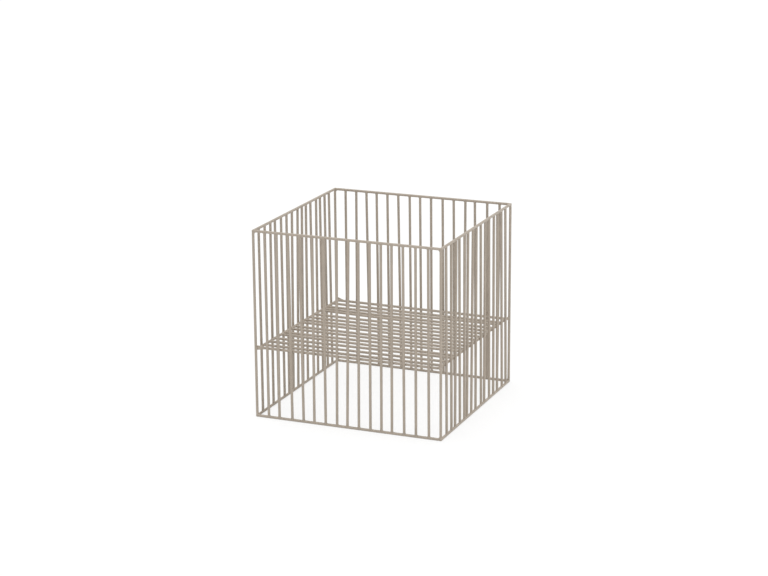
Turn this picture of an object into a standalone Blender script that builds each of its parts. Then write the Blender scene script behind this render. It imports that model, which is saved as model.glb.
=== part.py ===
"""
Square wire basket with a wire shelf.

Four walls of close upright wires stand around an open top and an open bottom. The front and
the back wall each have a frame that is bent from one wire, with bars between its top and
bottom runs. The left and the right wall are flat grilles that join the two frames. A little
over a third of the way up lies a shelf, built like the front wall: a bent frame with wires
between its left and right runs. It is welded to the insides of all four walls, its front a
little higher than its back.

The origin is on the floor, below the middle of the basket. X runs along the front wall, +Y
points to the back and +Z up. Every length is in metres.
"""
import math

import bmesh
import bpy

# Overall size, over the outsides of the wires
BASKET_WIDTH = 0.300
BASKET_DEPTH = 0.300
BASKET_HEIGHT = 0.290

# One gauge of wire serves the whole basket
WIRE_DIAMETER = 0.004

# Bend of the frames' corners, along the middle of the wire
FRAME_BEND_RADIUS = 0.005

# Height of the upper side of the shelf's middle above the floor
SHELF_HEIGHT = 0.1087

# The shelf is not quite level. These shares of one length say how far its corners lie above or
# below its middle: front left and front right, then back left and back right.
SHELF_RISE = 0.002
SHELF_RISE_SHARES = ((0.7, 1.15), (-0.85, -1.0))

# Gap between two wires that meet, and depth of a bar's end in the rail that it is fused to
WELD_GAP = 0.0003
FUSE_DEPTH = 0.0004

# Vertices closer than this are one vertex
MERGE_DISTANCE = 0.000001

# The wires were set by hand, so each stands a little off its even place and leans a little.
# These are the drifts of each wire's two ends as shares of the spacing: the lower and the
# upper end in a wall, from left to right or from front to back, and the left and the right
# end in the shelf, from front to back.
FRONT_DRIFT_SHARES = (
    (0.05, 0.0), (0.0, 0.05), (0.15, 0.05), (0.15, 0.05), (0.1, 0.15),
    (0.1, 0.1), (0.1, 0.25), (0.0, 0.25), (0.0, 0.1), (0.0, 0.05),
    (-0.05, 0.0), (-0.15, -0.1), (-0.1, -0.15), (-0.1, -0.1), (0.0, -0.05),
)
BACK_DRIFT_SHARES = (
    (0.0, 0.0), (-0.05, 0.0), (0.15, -0.05), (0.0, -0.1), (0.0, -0.1),
    (0.1, -0.1), (0.05, -0.05), (0.0, -0.1), (-0.05, -0.1), (0.05, -0.05),
    (0.05, -0.05), (-0.05, 0.0), (0.0, -0.15), (0.0, -0.05), (-0.05, 0.05),
)
LEFT_DRIFT_SHARES = (
    (0.05, 0.0), (0.1, 0.1), (0.05, 0.15), (0.05, 0.0), (0.2, 0.15),
    (0.1, 0.2), (-0.05, 0.25), (-0.1, 0.35), (-0.1, 0.2), (-0.15, 0.0),
    (0.1, -0.1), (-0.05, 0.05), (0.0, -0.15), (0.0, -0.2), (-0.05, -0.3),
)
RIGHT_DRIFT_SHARES = (
    (0.3, 0.1), (0.35, 0.2), (0.15, 0.3), (0.25, 0.0), (0.25, 0.15),
    (-0.15, -0.05), (-0.15, 0.05), (-0.15, -0.15), (0.15, -0.15), (-0.1, -0.1),
    (0.1, -0.2), (0.1, -0.05), (0.05, -0.2), (0.25, -0.25), (0.2, -0.25),
)
SHELF_DRIFT_SHARES = (
    (-0.15, -0.15), (-0.1, -0.05), (-0.05, 0.15), (0.15, -0.15), (-0.15, 0.15),
    (0.05, -0.05), (-0.1, -0.15), (0.2, -0.2), (0.0, -0.2), (-0.05, -0.15),
    (0.0, -0.15), (0.35, -0.25), (-0.1, -0.2), (-0.35, 0.05), (-0.15, -0.35),
)

# Sides of a wire's cross-section, and steps in each of a frame's bends
BEVEL_RESOLUTION = 4
WIRE_SIDES = 4 + 2 * BEVEL_RESOLUTION
BEND_STEPS = 5

# Warm grey coat on steel
COAT_COLOR = (0.39, 0.345, 0.29, 1.0)
COAT_ROUGHNESS = 0.45
COAT_METALLIC = 0.0

# Places that follow from the sizes above
WIRE_RADIUS = WIRE_DIAMETER / 2
POST_X = BASKET_WIDTH / 2 - WIRE_RADIUS
POST_Y = BASKET_DEPTH / 2 - WIRE_RADIUS
BOTTOM_RUN_Z = WIRE_RADIUS
TOP_RUN_Z = BASKET_HEIGHT - WIRE_RADIUS
SHELF_Z = SHELF_HEIGHT - WIRE_RADIUS
SHELF_RUN_X = POST_X - WIRE_DIAMETER - WELD_GAP
SHELF_RUN_Y = POST_Y - WIRE_DIAMETER - WELD_GAP
WALL_MIDDLE_Z = (BOTTOM_RUN_Z + TOP_RUN_Z) / 2
WALL_HALF_HEIGHT = (TOP_RUN_Z - BOTTOM_RUN_Z) / 2


def remove_everything():
    """Empty the scene."""
    for thing in list(bpy.data.objects):
        bpy.data.objects.remove(thing)


def new_collection(name):
    """Add a collection to the scene."""
    collection = bpy.data.collections.new(name)
    bpy.context.scene.collection.children.link(collection)
    return collection


def coat(name):
    """Powder coat of one piece."""
    material = bpy.data.materials.new(name + "_coat")
    material.use_nodes = True
    shader = material.node_tree.nodes["Principled BSDF"]
    shader.inputs["Base Color"].default_value = COAT_COLOR
    shader.inputs["Roughness"].default_value = COAT_ROUGHNESS
    shader.inputs["Metallic"].default_value = COAT_METALLIC
    return material


def holder(name, location, collection):
    """Empty that carries the pieces of a wall or of the shelf."""
    empty = bpy.data.objects.new(name, None)
    empty.location = location
    collection.objects.link(empty)
    return empty


def wire(name, points, collection, location=(0, 0, 0), parent=None, closed=False):
    """Round wire along points, with a flat facet above, below and at each side."""
    curve = bpy.data.curves.new(name, "CURVE")
    curve.dimensions = "3D"
    curve.bevel_depth = WIRE_RADIUS / math.cos(math.pi / WIRE_SIDES)
    curve.bevel_resolution = BEVEL_RESOLUTION
    curve.use_fill_caps = True
    spline = curve.splines.new("POLY")
    spline.points.add(len(points) - 1)
    spline.use_cyclic_u = closed
    for spline_point, place in zip(spline.points, points):
        spline_point.co = (*place, 1)
        spline_point.tilt = math.pi / WIRE_SIDES
    curve.materials.append(coat(name))
    piece = bpy.data.objects.new(name, curve)
    piece.location = location
    piece.parent = parent
    collection.objects.link(piece)
    return piece


def places(first, last, drift_shares):
    """Places of both ends of the wires between first and last: even, but for their drifts."""
    spacing = (last - first) / (len(drift_shares) + 1)
    return [
        [first + spacing * (number + drift) for drift in drifts]
        for number, drifts in enumerate(drift_shares, start=1)
    ]


def corner_points(side_a, side_b, half_a, half_b):
    """Points of one bent corner of a frame, from its run along b to its run along a."""
    centre_a = half_a - FRAME_BEND_RADIUS
    centre_b = half_b - FRAME_BEND_RADIUS
    points = [(half_a, centre_b - WIRE_RADIUS)]
    for step in range(BEND_STEPS + 1):
        angle = math.pi / 2 * step / BEND_STEPS
        a = centre_a + FRAME_BEND_RADIUS * math.cos(angle)
        b = centre_b + FRAME_BEND_RADIUS * math.sin(angle)
        points.append((a, b))
    points.append((centre_a - WIRE_RADIUS, half_b))
    return [(side_a * a, side_b * b) for a, b in points]


def frame_outline(half_a, half_b):
    """Closed loop of a frame around its middle, with four bent corners."""
    loop = []
    for side_a, side_b in ((1, 1), (-1, 1), (-1, -1), (1, -1)):
        corner = corner_points(side_a, side_b, half_a, half_b)
        loop += corner if side_a * side_b > 0 else corner[::-1]
    return loop


def build_framed_wall(side, wall_y, drift_shares, collection):
    """Front or back wall: a bent frame, and bars between its top and bottom runs."""
    wall = holder(side + "_wall", (0, wall_y, 0), collection)
    outline = frame_outline(POST_X, WALL_HALF_HEIGHT)
    points = [(x, 0, WALL_MIDDLE_Z + z) for x, z in outline]
    wire(side + "_frame", points, collection, parent=wall, closed=True)
    foot_z = BOTTOM_RUN_Z + WIRE_RADIUS + WELD_GAP
    head_z = TOP_RUN_Z - WIRE_RADIUS - WELD_GAP
    for number, (foot_x, head_x) in enumerate(places(-POST_X, POST_X, drift_shares), start=1):
        wire(
            f"{side}_bar_{number:02d}",
            [(0, 0, foot_z), (head_x - foot_x, 0, head_z)],
            collection,
            location=(foot_x, 0, 0),
            parent=wall,
        )


def as_mesh(piece, collection):
    """Make a wire's curve a closed mesh, which a Boolean can join."""
    depsgraph = bpy.context.evaluated_depsgraph_get()
    mesh = bpy.data.meshes.new_from_object(piece.evaluated_get(depsgraph))
    welder = bmesh.new()
    welder.from_mesh(mesh)
    bmesh.ops.remove_doubles(welder, verts=welder.verts, dist=MERGE_DISTANCE)
    welder.to_mesh(mesh)
    welder.free()
    solid = bpy.data.objects.new(piece.name + "_solid", mesh)
    solid.matrix_world = piece.matrix_world
    collection.objects.link(solid)
    bpy.data.objects.remove(piece)
    return solid


def build_grille(side, wall_x, drift_shares, collection, joined_wires):
    """Left or right wall: two rails between the frames, with bars fused between them."""
    end_y = POST_Y - WIRE_RADIUS - WELD_GAP
    rails = []
    for level, rail_z in (("bottom", BOTTOM_RUN_Z), ("top", TOP_RUN_Z)):
        ends = [(0, -end_y, rail_z), (0, end_y, rail_z)]
        rails.append(wire(f"{side}_{level}_rail", ends, joined_wires))
    foot_z = BOTTOM_RUN_Z + WIRE_RADIUS - FUSE_DEPTH
    head_z = TOP_RUN_Z - WIRE_RADIUS + FUSE_DEPTH
    bars = []
    for number, (foot_y, head_y) in enumerate(places(-POST_Y, POST_Y, drift_shares), start=1):
        ends = [(0, foot_y, foot_z), (0, head_y, head_z)]
        bars.append(wire(f"{side}_bar_{number:02d}", ends, joined_wires))
    bpy.context.view_layer.update()

    bottom_rail = as_mesh(rails[0], bpy.context.scene.collection)
    for piece in [rails[1]] + bars:
        solid = as_mesh(piece, joined_wires)
        solid.hide_render = True
        solid.display_type = "WIRE"
    join = bottom_rail.modifiers.new("join", "BOOLEAN")
    join.operation = "UNION"
    join.operand_type = "COLLECTION"
    join.collection = joined_wires
    join.solver = "EXACT"
    bpy.context.view_layer.update()

    depsgraph = bpy.context.evaluated_depsgraph_get()
    mesh = bpy.data.meshes.new_from_object(bottom_rail.evaluated_get(depsgraph))
    bpy.data.objects.remove(bottom_rail)
    for solid in list(joined_wires.objects):
        bpy.data.objects.remove(solid)

    name = side + "_wall_grille"
    mesh.shade_smooth()
    mesh.set_sharp_from_angle(angle=math.pi / 4)
    mesh.materials.clear()
    mesh.materials.append(coat(name))
    grille = bpy.data.objects.new(name, mesh)
    grille.location = (wall_x, 0, 0)
    collection.objects.link(grille)


def shelf_rise(x, y):
    """How much higher than its middle the shelf is at a place between its four corners."""
    (front_left, front_right), (back_left, back_right) = SHELF_RISE_SHARES
    way_right = (x / SHELF_RUN_X + 1) / 2
    way_back = (y / SHELF_RUN_Y + 1) / 2
    front = front_left + (front_right - front_left) * way_right
    back = back_left + (back_right - back_left) * way_right
    return SHELF_RISE * (front + (back - front) * way_back)


def build_shelf(collection):
    """Shelf: a bent frame inside the four walls, and wires between its left and right runs."""
    shelf = holder("shelf", (0, 0, SHELF_Z), collection)
    points = [(x, y, shelf_rise(x, y)) for x, y in frame_outline(SHELF_RUN_X, SHELF_RUN_Y)]
    wire("shelf_frame", points, collection, parent=shelf, closed=True)
    end_x = SHELF_RUN_X - WIRE_RADIUS - WELD_GAP
    rows = places(-SHELF_RUN_Y, SHELF_RUN_Y, SHELF_DRIFT_SHARES)
    for number, (left_y, right_y) in enumerate(rows, start=1):
        left_z = shelf_rise(-end_x, left_y)
        right_z = shelf_rise(end_x, right_y)
        wire(
            f"shelf_wire_{number:02d}",
            [(-end_x, 0, 0), (end_x, right_y - left_y, right_z - left_z)],
            collection,
            location=(0, left_y, left_z),
            parent=shelf,
        )


remove_everything()
basket = new_collection("wire_basket")
grille_wires = new_collection("grille_wires")
build_framed_wall("front", -POST_Y, FRONT_DRIFT_SHARES, basket)
build_framed_wall("back", POST_Y, BACK_DRIFT_SHARES, basket)
build_grille("left", -POST_X, LEFT_DRIFT_SHARES, basket, grille_wires)
build_grille("right", POST_X, RIGHT_DRIFT_SHARES, basket, grille_wires)
build_shelf(basket)
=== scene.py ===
import math

import bmesh
import bpy
from mathutils import Matrix, Vector


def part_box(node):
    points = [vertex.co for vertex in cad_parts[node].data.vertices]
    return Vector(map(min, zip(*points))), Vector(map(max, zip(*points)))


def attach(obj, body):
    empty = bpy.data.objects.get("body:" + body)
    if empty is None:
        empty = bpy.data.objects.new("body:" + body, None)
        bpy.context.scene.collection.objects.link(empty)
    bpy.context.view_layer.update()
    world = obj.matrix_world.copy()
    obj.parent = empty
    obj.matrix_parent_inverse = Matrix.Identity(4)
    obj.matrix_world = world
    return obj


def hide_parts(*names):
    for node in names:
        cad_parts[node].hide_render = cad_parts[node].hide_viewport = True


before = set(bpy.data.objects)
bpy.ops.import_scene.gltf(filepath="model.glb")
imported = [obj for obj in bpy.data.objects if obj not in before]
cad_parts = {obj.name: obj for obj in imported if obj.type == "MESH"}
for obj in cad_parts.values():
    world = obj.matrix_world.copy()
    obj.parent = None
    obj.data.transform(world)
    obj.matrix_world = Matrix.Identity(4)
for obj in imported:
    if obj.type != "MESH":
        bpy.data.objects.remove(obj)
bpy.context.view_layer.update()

# Viewpoint
# The basket is seen from the right of its front wall and from a little above its rim, through
# a long lens from some three metres off. The numbers come from a fit to the rails and corners.
CAMERA_LENS_MM = 98.467
CAMERA_SENSOR_MM = 36
CAMERA_DISTANCE = 3.20112
CAMERA_AZIMUTH = math.radians(22.8078)
CAMERA_ELEVATION = math.radians(15.5896)
CAMERA_ROLL = math.radians(0.3889)
CAMERA_AIM = Vector((-0.00509, 0.00712, 0.1751))

level_right = Vector((math.cos(CAMERA_AZIMUTH), math.sin(CAMERA_AZIMUTH), 0))
sight_line = Vector((
    -math.sin(CAMERA_AZIMUTH) * math.cos(CAMERA_ELEVATION),
    math.cos(CAMERA_AZIMUTH) * math.cos(CAMERA_ELEVATION),
    -math.sin(CAMERA_ELEVATION),
))
level_up = level_right.cross(sight_line)
rolled_right = level_right * math.cos(CAMERA_ROLL) - level_up * math.sin(CAMERA_ROLL)
rolled_up = level_right * math.sin(CAMERA_ROLL) + level_up * math.cos(CAMERA_ROLL)
camera_data = bpy.data.cameras.new("photo_view")
camera_data.lens = CAMERA_LENS_MM
camera_data.sensor_width = CAMERA_SENSOR_MM
camera = bpy.data.objects.new("photo_view", camera_data)
camera.matrix_world = (
    Matrix.Translation(CAMERA_AIM - sight_line * CAMERA_DISTANCE)
    @ Matrix((rolled_right, rolled_up, -sight_line)).transposed().to_4x4()
)
bpy.context.scene.collection.objects.link(camera)
bpy.context.scene.camera = camera
bpy.context.scene.view_settings.view_transform = "Standard"

# Front frame
# One steel wire of 4 mm, bent to a rectangle and joined end to end. Its four bends are the
# corners of the front wall. Like every wire here it has a satin warm grey powder coat.
X_AXIS, Y_AXIS, Z_AXIS = Vector((1, 0, 0)), Vector((0, 1, 0)), Vector((0, 0, 1))
front_low, front_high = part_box("front_frame")
WIRE_RADIUS = (front_high.y - front_low.y) / 2
WIRE_SIDES = 24
FRAME_BENDS = 4
# Of the wire's middle line in a bend
BEND_RADIUS = 0.005
BEND_STEPS = 10
MERGE_DISTANCE = 0.000002
SMOOTH_ANGLE = math.radians(40)

COAT_LIGHT = (0.428, 0.368, 0.303, 1.0)
COAT_DARK = (0.360, 0.310, 0.255, 1.0)
COAT_ROUGHNESS = 0.42
COAT_SPECULAR = 0.42
# Noises over the coat. A noise's scale is in patterns per metre, and its middle value is also
# the even mix of the two colours.
CLOUDS = {"Scale": 45, "Detail": 3.0, "Roughness": 0.6}
ORANGE_PEEL = {"Scale": 850, "Detail": 1.0, "Roughness": 0.4}
GRAIN = {"Scale": 3600, "Detail": 2.0, "Roughness": 0.5}
MIDDLE = 0.5
# How far the noises drive the mix of the two colours, and how far they change the roughness
CLOUD_CONTRAST = 1.6
GRAIN_CONTRAST = 1.1
CLOUD_ROUGHNESS = 0.16
PEEL_ROUGHNESS = 0.2
PEEL_DEPTH = 0.00010
GRAIN_DEPTH = 0.000015
# Places of a Mix node's two colours among its inputs, and of their mix among its outputs
FIRST_COLOUR, SECOND_COLOUR, MIXED_COLOUR = 6, 7, 2


class Shade:
    """A socket of a material's nodes, or a start with none. Its sums, differences and products
    with numbers or other shades add Math nodes."""

    def __init__(self, tree, socket=None):
        self.tree = tree
        self.socket = socket

    def node(self, kind, settings, inputs, output=0):
        """Add a node of one kind: its settings come first, then its values and links."""
        node = self.tree.nodes.new(kind)
        for name, value in settings.items():
            setattr(node, name, value)
        for name, value in inputs.items():
            if isinstance(value, Shade):
                self.tree.links.new(value.socket, node.inputs[name])
            else:
                node.inputs[name].default_value = value
        return Shade(self.tree, node.outputs[output])

    def math(self, operation, first, second):
        return self.node("ShaderNodeMath", {"operation": operation}, {0: first, 1: second})

    def __add__(self, other):
        return self.math("ADD", self, other)

    def __radd__(self, other):
        return self.math("ADD", other, self)

    def __sub__(self, other):
        return self.math("SUBTRACT", self, other)

    def __rsub__(self, other):
        return self.math("SUBTRACT", other, self)

    def __mul__(self, other):
        return self.math("MULTIPLY", self, other)

    def __rmul__(self, other):
        return self.math("MULTIPLY", other, self)

    def feed(self, node, name):
        """Link this shade to a socket of a node."""
        self.tree.links.new(self.socket, node.inputs[name])


def powder_coat(name):
    """Satin powder coat: clouds and grain in its colour, dimples of orange peel in its face."""
    material = bpy.data.materials.new(name)
    material.use_nodes = True
    shader = material.node_tree.nodes["Principled BSDF"]
    tree = Shade(material.node_tree)
    place = tree.node("ShaderNodeTexCoord", {}, {}, "Object")
    clouds, peel, grain = (
        tree.node("ShaderNodeTexNoise", {}, {"Vector": place, **noise})
        for noise in (CLOUDS, ORANGE_PEEL, GRAIN)
    )
    light_share = (
        (clouds - MIDDLE) * CLOUD_CONTRAST + (grain - MIDDLE) * GRAIN_CONTRAST + MIDDLE
    )
    colour = tree.node(
        "ShaderNodeMix", {"data_type": "RGBA"},
        {"Factor": light_share, FIRST_COLOUR: COAT_DARK, SECOND_COLOUR: COAT_LIGHT},
        MIXED_COLOUR,
    )
    roughness = (
        COAT_ROUGHNESS + (clouds - MIDDLE) * CLOUD_ROUGHNESS + (peel - MIDDLE) * PEEL_ROUGHNESS
    )
    peel_bump = tree.node("ShaderNodeBump", {}, {"Height": peel, "Distance": PEEL_DEPTH})
    bump = tree.node(
        "ShaderNodeBump", {}, {"Height": grain, "Distance": GRAIN_DEPTH, "Normal": peel_bump},
    )
    colour.feed(shader, "Base Color")
    roughness.feed(shader, "Roughness")
    bump.feed(shader, "Normal")
    shader.inputs["Specular IOR Level"].default_value = COAT_SPECULAR
    return material


def open_ring(name, centre, heading, fill="NOTHING"):
    """Start a wire: a ring of its cross-section, in edit mode and selected."""
    bpy.ops.object.select_all(action="DESELECT")
    bpy.ops.mesh.primitive_circle_add(
        vertices=WIRE_SIDES, radius=WIRE_RADIUS, fill_type=fill,
        location=centre, rotation=heading.to_track_quat("Z", "Y").to_euler(),
    )
    piece = bpy.context.object
    piece.name = name
    piece.data.name = name
    bpy.ops.object.transform_apply(location=True, rotation=True, scale=True)
    bpy.ops.object.mode_set(mode="EDIT")
    bpy.ops.mesh.select_all(action="SELECT")
    return piece


def extrude(way):
    """Draw out what is selected."""
    bpy.ops.mesh.extrude_region_move(TRANSFORM_OT_translate={"value": way})


def close_piece():
    """Merge doubles, turn all faces outwards, leave edit mode and smooth what is round."""
    bpy.ops.mesh.select_all(action="SELECT")
    bpy.ops.mesh.remove_doubles(threshold=MERGE_DISTANCE)
    bpy.ops.mesh.normals_make_consistent(inside=False)
    bpy.ops.object.mode_set(mode="OBJECT")
    bpy.ops.object.shade_smooth_by_angle(angle=SMOOTH_ANGLE)


def bend_frame(name, low, high, along, across):
    """Bend one wire to a closed rectangle in a box, with runs along two of its axes."""
    run_along = along * ((high - low).dot(along) - 2 * (WIRE_RADIUS + BEND_RADIUS))
    run_across = across * ((high - low).dot(across) - 2 * (WIRE_RADIUS + BEND_RADIUS))
    bend_centre = (low + high - run_along - run_across) / 2
    piece = open_ring(name, bend_centre - across * BEND_RADIUS, along)
    run, next_run = run_along, run_across
    for _ in range(FRAME_BENDS):
        extrude(run)
        bend_centre = bend_centre + run
        bpy.ops.mesh.spin(
            steps=BEND_STEPS, angle=math.pi / 2, center=bend_centre, axis=across.cross(along),
        )
        run, next_run = next_run, -run
    close_piece()
    return piece


def hand_over(piece, *nodes):
    """Coat a piece, fix it to the basket's body and let it stand for its solids."""
    piece.data.materials.clear()
    piece.data.materials.append(warm_grey_coat)
    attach(piece, "root")
    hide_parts(*nodes)


warm_grey_coat = powder_coat("warm_grey_coat")
front_frame = bend_frame("front_bent_wire", front_low, front_high, X_AXIS, Z_AXIS)
hand_over(front_frame, "front_frame")

# Back frame
# The same bent steel wire as the front frame, for the back wall. The two stand apart, and the
# rails of the side walls join them at their corners.
back_low, back_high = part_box("back_frame")
back_frame = bend_frame("back_bent_wire", back_low, back_high, X_AXIS, Z_AXIS)
hand_over(back_frame, "back_frame")

# Bars of the front and the back wall
# Fifteen straight wires in each wall stand between the runs of its frame. Each end is welded on
# a run, where the melted steel spreads to a small toe along it. They lean a little, by hand.
BAR_COUNT = 15
BOTTOM_Z = front_low.z + WIRE_RADIUS
TOP_Z = front_high.z - WIRE_RADIUS
ALONG_X, ALONG_Z = 0, 2
# The points of a solid this near to its end belong to the wire's end face
END_ZONE = 0.001
# A toe's rings: way up from the run's middle, reach along the run and reach across it, all in
# wire radii
TOE_RINGS = (
    (0.25, 1.12, 0.960),
    (0.60, 1.30, 0.985),
    (0.98, 1.36, 1.000),
    (1.10, 1.20, 1.000),
    (1.30, 1.07, 1.000),
    (1.65, 1.00, 1.000),
)


def swell_wire(name, start, heading, side, rings):
    """Wire through rings of unlike size: way along the wire, reach to its side and across."""
    across = heading.cross(side)
    piece = open_ring(name, start + heading * rings[0][0], heading, "NGON")
    last_way, last_side, last_across = rings[0][0], 1.0, 1.0
    for number, (way, side_reach, across_reach) in enumerate(rings):
        if number:
            extrude(heading * (way - last_way))
        side_growth = side_reach / last_side - 1
        across_growth = across_reach / last_across - 1
        growth = [
            1 + abs(side_part) * side_growth + abs(across_part) * across_growth
            for side_part, across_part in zip(side, across)
        ]
        bpy.ops.transform.resize(value=growth, center_override=start + heading * way)
        last_way, last_side, last_across = way, side_reach, across_reach
    close_piece()
    return piece


def both_ends(rings, length):
    """The rings of one end of a wire in metres, and the same in reverse at its other end."""
    near = [(way * WIRE_RADIUS, side, across) for way, side, across in rings]
    far = [(length - way, side, across) for way, side, across in reversed(near)]
    return near + far


def end_centre(node, axis, far_end):
    """Middle of the near or the far end of a wire's solid, along one axis."""
    low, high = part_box(node)
    tip = high[axis] if far_end else low[axis]
    end_face = [
        vertex.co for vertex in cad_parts[node].data.vertices
        if abs(vertex.co[axis] - tip) < END_ZONE
    ]
    return Vector([
        (min(co[part] for co in end_face) + max(co[part] for co in end_face)) / 2
        for part in range(3)
    ])


def duplicate(model):
    """Copy a piece and its mesh. The copy is left active."""
    bpy.ops.object.select_all(action="DESELECT")
    model.select_set(True)
    bpy.context.view_layer.objects.active = model
    bpy.ops.object.duplicate()
    return bpy.context.object


def pick(piece, wanted):
    """In edit mode, select the vertices whose place is wanted, and nothing else."""
    bpy.ops.mesh.select_all(action="DESELECT")
    cage = bmesh.from_edit_mesh(piece.data)
    for vertex in cage.verts:
        vertex.select = wanted(vertex.co)
    cage.select_flush(True)
    bmesh.update_edit_mesh(piece.data)


def copy_wire(model, name, axis, start_shift, end_shift):
    """Copy a wire and move its two ends to their places."""
    piece = duplicate(model)
    piece.name = name
    piece.data.name = name
    middle = sum(vertex.co[axis] for vertex in piece.data.vertices) / len(piece.data.vertices)
    bpy.ops.object.mode_set(mode="EDIT")
    pick(piece, lambda co: co[axis] < middle)
    bpy.ops.transform.translate(value=start_shift)
    pick(piece, lambda co: co[axis] > middle)
    bpy.ops.transform.translate(value=end_shift)
    bpy.ops.object.mode_set(mode="OBJECT")
    return piece


bar_model = swell_wire(
    "bar_model", Vector((0, 0, BOTTOM_Z)), Z_AXIS, X_AXIS, both_ends(TOE_RINGS, TOP_Z - BOTTOM_Z),
)
bars = {}
for wall, wall_low in (("front", front_low), ("back", back_low)):
    wall_y = wall_low.y + WIRE_RADIUS
    bars[wall] = []
    for number in range(1, BAR_COUNT + 1):
        node = f"{wall}_bar_{number:02d}"
        foot = Vector((end_centre(node, ALONG_Z, False).x, wall_y, 0))
        head = Vector((end_centre(node, ALONG_Z, True).x, wall_y, 0))
        bar = copy_wire(bar_model, f"{wall}_upright_{number:02d}", ALONG_Z, foot, head)
        hand_over(bar, node)
        bars[wall].append((foot, head))
bpy.data.objects.remove(bar_model)

# Left and right walls
# Each side wall is a welded grille: a rail on the floor, a rail at the rim and fifteen bars
# between them. The rails' ends fill the corners of the front and the back frame, where the
# melted steel rounds them off.

# A rail end's rings: way in from its tip, reach sideways and reach up and down, in wire radii
RAIL_END_RINGS = (
    (0.00, 0.30, 0.30),
    (0.08, 0.55, 0.55),
    (0.25, 0.79, 0.79),
    (0.55, 0.94, 0.94),
    (1.00, 1.00, 1.00),
)
# An edge of a grille's solid that climbs more than this is one of a bar's long edges
LONG_EDGE = 0.2
# Places in metres are told apart to this many decimals
PLACE_DECIMALS = 6


def bar_rows(node):
    """Places along Y of the feet and heads of a grille's bars, from its long upright edges."""
    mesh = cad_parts[node].data
    feet, heads = set(), set()
    for edge in mesh.edges:
        ends = sorted((mesh.vertices[index].co for index in edge.vertices), key=lambda co: co.z)
        if ends[1].z - ends[0].z > LONG_EDGE:
            feet.add(round(ends[0].y, PLACE_DECIMALS))
            heads.add(round(ends[1].y, PLACE_DECIMALS))
    rows = []
    for places in (sorted(feet), sorted(heads)):
        groups = [[places[0]]]
        for place in places[1:]:
            if place - groups[-1][-1] > WIRE_RADIUS * 2:
                groups.append([])
            groups[-1].append(place)
        rows.append([(group[0] + group[-1]) / 2 for group in groups])
    return list(zip(*rows))


side_bar_model = swell_wire(
    "side_bar_model", Vector((0, 0, BOTTOM_Z)), Z_AXIS, Y_AXIS,
    both_ends(TOE_RINGS, TOP_Z - BOTTOM_Z),
)
for wall in ("left", "right"):
    node = wall + "_wall_grille"
    grille_low, grille_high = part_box(node)
    wall_x = (grille_low.x + grille_high.x) / 2
    for level, rail_z in (("bottom", BOTTOM_Z), ("top", TOP_Z)):
        rail = swell_wire(
            f"{wall}_{level}_rail", Vector((wall_x, front_low.y, rail_z)), Y_AXIS, X_AXIS,
            both_ends(RAIL_END_RINGS, back_high.y - front_low.y),
        )
        hand_over(rail, node)
    bars[wall] = [
        (Vector((wall_x, foot_y, 0)), Vector((wall_x, head_y, 0)))
        for foot_y, head_y in bar_rows(node)
    ]
    for number, (foot, head) in enumerate(bars[wall], start=1):
        bar = copy_wire(side_bar_model, f"{wall}_upright_{number:02d}", ALONG_Z, foot, head)
        hand_over(bar, node)
bpy.data.objects.remove(side_bar_model)

# Welds of the corners
# In each corner of the basket the bend of a frame and the end of a rail are welded together, and
# the melted steel fills the hollow between the two to a nearly square corner.
CORNER_SIDES = ((-1, -1), (1, -1), (-1, 1), (1, 1))
# A fill's rings: way out from the middle of the bend, reach in the plane of the frame and reach
# across it, in wire radii
CORNER_FILL_RINGS = (
    (0.00, 2.10, 0.60),
    (0.45, 1.85, 0.85),
    (0.95, 1.42, 0.95),
    (1.40, 0.98, 0.97),
    (1.70, 0.70, 0.80),
    (1.90, 0.45, 0.50),
)


def bead_model(name, side, rings):
    """Model of a bead that lies along X, through rings in wire radii."""
    return swell_wire(
        name, Vector((0, 0, 0)), X_AXIS, side,
        [(way * WIRE_RADIUS, side_reach, across) for way, side_reach, across in rings],
    )


def copy_bead(model, place, heading):
    """Copy a bead, turn it to its heading and move it to its place."""
    bead = duplicate(model)
    bead.location = place
    bead.rotation_euler = heading.to_track_quat("X", "Z").to_euler()
    bpy.ops.object.transform_apply(location=True, rotation=True, scale=True)
    return bead


def join_beads(beads, name):
    """Join the beads of one kind to one piece, and hand it over."""
    bpy.ops.object.select_all(action="DESELECT")
    for bead in beads:
        bead.select_set(True)
    bpy.context.view_layer.objects.active = beads[0]
    bpy.ops.object.join()
    beads[0].name = name
    beads[0].data.name = name
    hand_over(beads[0])


# The middle of a bend lies this far inside the corner where its two runs would cross
BEND_INSET = BEND_RADIUS * (1 - math.sqrt(0.5))
frame_middle = (front_low + front_high) / 2
fill_reach = (front_high - front_low) / 2 - Vector((1, 1, 1)) * (WIRE_RADIUS + BEND_INSET)
corner_fill_model = bead_model("corner_fill_model", Z_AXIS, CORNER_FILL_RINGS)
for wall, wall_low in (("front", front_low), ("back", back_low)):
    fills = []
    for side_x, side_z in CORNER_SIDES:
        place = Vector((
            frame_middle.x + side_x * fill_reach.x, wall_low.y + WIRE_RADIUS,
            frame_middle.z + side_z * fill_reach.z,
        ))
        fills.append(copy_bead(corner_fill_model, place, Vector((side_x, 0, side_z))))
    join_beads(fills, wall + "_corner_welds")
bpy.data.objects.remove(corner_fill_model)

# Shelf
# A bent frame like the walls' frames, lying inside the four walls, with fifteen wires between its
# left and right runs. It was set by hand, so each of its corners has a height of its own.
shelf_low, shelf_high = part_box("shelf_frame")
SHELF_X = shelf_high.x - WIRE_RADIUS
SHELF_Y = shelf_high.y - WIRE_RADIUS


def corner_height(side_x, side_y):
    """Height of the middle of the wire in one corner of the shelf's solid."""
    heights = [
        vertex.co.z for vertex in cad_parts["shelf_frame"].data.vertices
        if vertex.co.x * side_x > SHELF_X - BEND_RADIUS
        and vertex.co.y * side_y > SHELF_Y - BEND_RADIUS
    ]
    return (min(heights) + max(heights)) / 2


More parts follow.
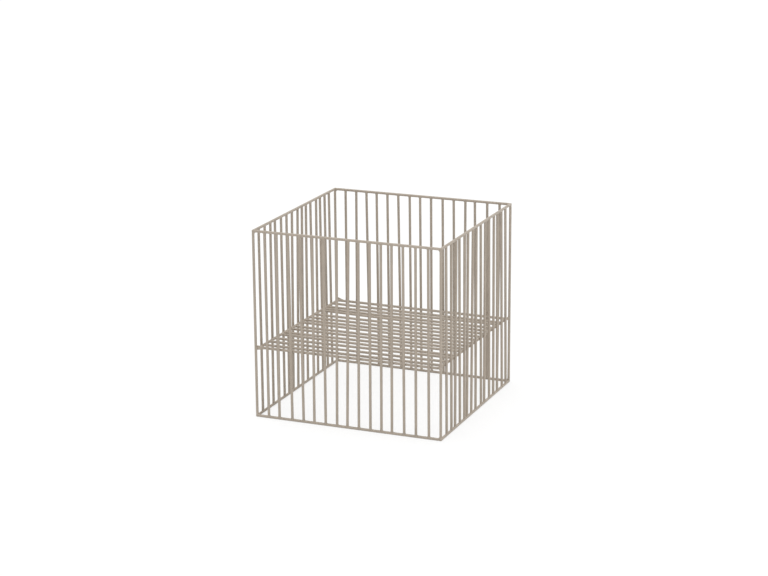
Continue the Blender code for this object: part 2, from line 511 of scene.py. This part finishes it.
def shelf_height(x, y):
    """Height of the shelf at a place, blended from the heights of its four corners."""
    return sum(
        height * (1 + side_x * x / SHELF_X) * (1 + side_y * y / SHELF_Y)
        for (side_x, side_y), height in corner_heights.items()
    ) / len(corner_heights)


corner_heights = {sides: corner_height(*sides) for sides in CORNER_SIDES}
shelf_frame = bend_frame("shelf_bent_wire", shelf_low, shelf_high, X_AXIS, Y_AXIS)
bpy.ops.object.mode_set(mode="EDIT")
for side_x, side_y in CORNER_SIDES:
    rise = corner_heights[side_x, side_y] - (shelf_low.z + shelf_high.z) / 2
    pick(shelf_frame, lambda co: co.x * side_x > 0 and co.y * side_y > 0)
    bpy.ops.transform.translate(value=(0, 0, rise))
bpy.ops.object.mode_set(mode="OBJECT")
hand_over(shelf_frame, "shelf_frame")

shelf_wire_model = swell_wire(
    "shelf_wire_model", Vector((-SHELF_X, 0, 0)), X_AXIS, Y_AXIS,
    both_ends(TOE_RINGS, 2 * SHELF_X),
)
for number in range(1, BAR_COUNT + 1):
    node = f"shelf_wire_{number:02d}"
    left_end = end_centre(node, ALONG_X, False)
    right_end = end_centre(node, ALONG_X, True)
    shelf_wire = copy_wire(
        shelf_wire_model, f"shelf_cross_wire_{number:02d}", ALONG_X,
        (0, left_end.y, left_end.z), (0, right_end.y, right_end.z),
    )
    hand_over(shelf_wire, node)
bpy.data.objects.remove(shelf_wire_model)

# Welds of the shelf
# Where the shelf's frame crosses a bar, a small bead of melted steel ties the two wires. A longer
# bead ties each bend to its post and climbs a little up and down it. In the two left corners
# much steel has run from the post along the front and the back run.

# A bead's rings: way from the shelf's run to the wall's wire, reach along the run and reach
# up and down, in wire radii
BEAD_RINGS = (
    (0.20, 0.95, 0.55),
    (0.75, 0.80, 0.60),
    (1.08, 0.68, 0.68),
    (1.40, 0.60, 0.80),
    (1.94, 0.55, 0.95),
)
CORNER_BEAD_RINGS = (
    (0.20, 0.80, 0.80),
    (1.20, 0.78, 0.88),
    (2.00, 0.74, 1.02),
    (2.75, 0.70, 1.35),
    (3.30, 0.66, 1.85),
    (3.80, 0.55, 2.10),
)
# The same of a long weld, whose way is along the run, from the post
LONG_WELD_RINGS = (
    (0.00, 0.60, 1.62),
    (0.60, 0.80, 1.70),
    (1.80, 0.92, 1.56),
    (3.20, 0.98, 1.32),
    (4.80, 1.00, 1.12),
    (6.40, 0.96, 0.96),
)
# A long weld starts this high over the run, by its corner, and this far out from the bend, along
# X and along Y alike. It heads for the place on the run that lies this far in from the bend.
LONG_WELD_RISES = {(-1, -1): 0.0004, (-1, 1): 0.0017}
LONG_WELD_OUT = 0.0043
LONG_WELD_IN = 0.0085

small_bead_model = bead_model("small_bead_model", Y_AXIS, BEAD_RINGS)
for wall, outward in (("front", -Y_AXIS), ("back", Y_AXIS), ("left", -X_AXIS), ("right", X_AXIS)):
    run_to_bars = abs(bars[wall][0][0].dot(outward)) - (SHELF_X if outward.x else SHELF_Y)
    beads = []
    for foot, head in bars[wall]:
        half_way = (foot + head) / 2
        height = shelf_height(half_way.x, half_way.y)
        crossing = foot.lerp(head, (height - BOTTOM_Z) / (TOP_Z - BOTTOM_Z))
        place = crossing - outward * run_to_bars + Z_AXIS * height
        beads.append(copy_bead(small_bead_model, place, outward))
    join_beads(beads, wall + "_shelf_welds")
bpy.data.objects.remove(small_bead_model)

corner_bead_model = bead_model("corner_bead_model", Y_AXIS, CORNER_BEAD_RINGS)
long_weld_model = bead_model("long_weld_model", Y_AXIS, LONG_WELD_RINGS)
corner_beads = []
for side_x, side_y in CORNER_SIDES:
    outward = Vector((side_x, side_y, 0))
    bend_middle = Vector((
        side_x * (SHELF_X - BEND_INSET), side_y * (SHELF_Y - BEND_INSET),
        corner_heights[side_x, side_y],
    ))
    corner_beads.append(copy_bead(corner_bead_model, bend_middle, outward))
    if (side_x, side_y) in LONG_WELD_RISES:
        rise = Z_AXIS * LONG_WELD_RISES[side_x, side_y]
        weld_start = bend_middle + outward * LONG_WELD_OUT + rise
        weld_end = Vector((
            bend_middle.x - side_x * LONG_WELD_IN, side_y * SHELF_Y, bend_middle.z,
        ))
        corner_beads.append(copy_bead(long_weld_model, weld_start, weld_end - weld_start))
bpy.data.objects.remove(corner_bead_model)
bpy.data.objects.remove(long_weld_model)
join_beads(corner_beads, "corner_shelf_welds")

# Ground and light
# A plain white ground under soft studio light: an even white surround, a broad softbox overhead
# and a weaker one on the right in front. To the camera, in a gloss and through glass a part of
# the ground's white is its own, and the rest keeps the basket's soft shadow.
GROUND_SIZE = 30
GROUND_WHITE = (0.97, 0.97, 0.97, 1.0)
PURE_WHITE = (1.0, 1.0, 1.0, 1.0)
OWN_WHITE_SHARE = 0.7
SURROUND_STRENGTH = 0.68
# A softbox's name, strength, azimuth, elevation and spread, the angles in degrees
SOFTBOXES = (
    ("overhead_softbox", 1.4, 250, 78, 50),
    ("side_softbox", 0.5, 70, 35, 40),
)


def seen_directly(tree):
    """1 on rays from the camera, from a gloss or through glass, and 0 on those that light."""
    from_camera, in_gloss, through_glass = (
        tree.node("ShaderNodeLightPath", {}, {}, ray)
        for ray in ("Is Camera Ray", "Is Glossy Ray", "Is Transmission Ray")
    )
    return from_camera + in_gloss + through_glass


bpy.ops.object.select_all(action="DESELECT")
bpy.ops.mesh.primitive_plane_add(size=GROUND_SIZE)
ground = bpy.context.object
ground.name = "ground"
ground_paint = bpy.data.materials.new("white_ground")
ground_paint.use_nodes = True
ground_paint.node_tree.nodes.clear()
ground_tree = Shade(ground_paint.node_tree)
lit_white = ground_tree.node("ShaderNodeBsdfDiffuse", {}, {"Color": GROUND_WHITE})
own_white = ground_tree.node("ShaderNodeEmission", {}, {"Color": PURE_WHITE, "Strength": 1.0})
white = ground_tree.node(
    "ShaderNodeMixShader", {},
    {0: seen_directly(ground_tree) * OWN_WHITE_SHARE, 1: lit_white, 2: own_white},
)
white.feed(ground_paint.node_tree.nodes.new("ShaderNodeOutputMaterial"), "Surface")
ground.data.materials.append(ground_paint)

world = bpy.data.worlds.new("white_studio")
bpy.context.scene.world = world
world.use_nodes = True
surround = world.node_tree.nodes["Background"]
surround.inputs["Color"].default_value = PURE_WHITE
seen = seen_directly(Shade(world.node_tree))
surround_light = seen * (1 - SURROUND_STRENGTH) + SURROUND_STRENGTH
surround_light.feed(surround, "Strength")

for name, strength, *degrees in SOFTBOXES:
    azimuth, elevation, spread = (math.radians(angle) for angle in degrees)
    softbox_data = bpy.data.lights.new(name, "SUN")
    softbox_data.energy = strength
    softbox_data.angle = spread
    softbox = bpy.data.objects.new(name, softbox_data)
    light_way = Vector((
        math.sin(azimuth) * math.cos(elevation),
        -math.cos(azimuth) * math.cos(elevation),
        math.sin(elevation),
    ))
    softbox.rotation_euler = light_way.to_track_quat("Z", "Y").to_euler()
    bpy.context.scene.collection.objects.link(softbox)
